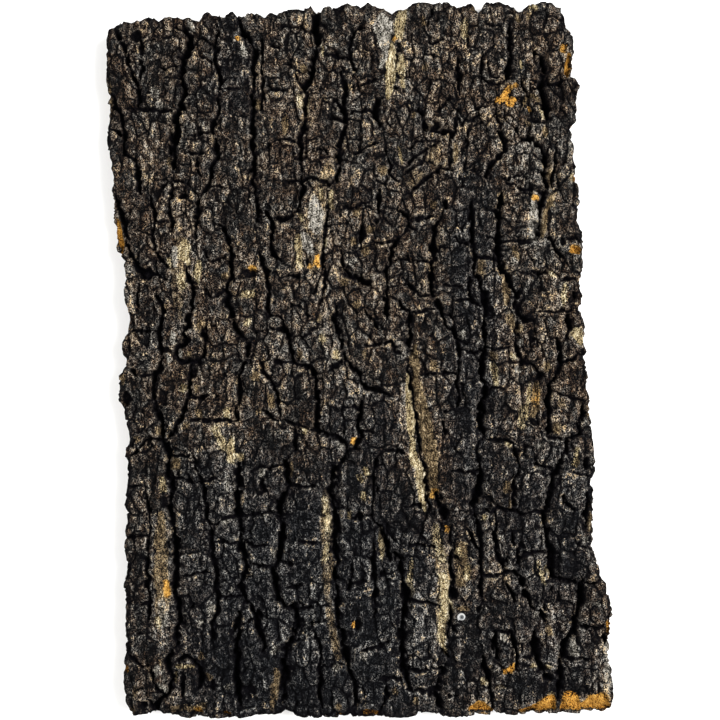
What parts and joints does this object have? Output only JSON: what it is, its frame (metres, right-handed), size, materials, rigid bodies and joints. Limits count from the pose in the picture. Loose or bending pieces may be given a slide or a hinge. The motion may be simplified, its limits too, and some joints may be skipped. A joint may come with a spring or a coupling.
{
  "type": "cork bark panel",
  "caption": "Flattened panel of virgin cork bark with a deeply furrowed outer side and a flat back, for lining or backing.",
  "frame": {"origin": "centre of the flat back", "axes": "+Z out of the furrowed outer side, +Y along the way the bark grew on the trunk (the picture's top), +X to the right as seen from the outer side"},
  "size_m": [0.325, 0.459, 0.0253],
  "materials": {
    "bark": "rough, crumbly, matt",
    "shell": "chalky, weathered"
  },
  "bodies": {
    "root": {"bark_slab": "bark", "snail_shell": "shell"}
  },
  "joints": []
}
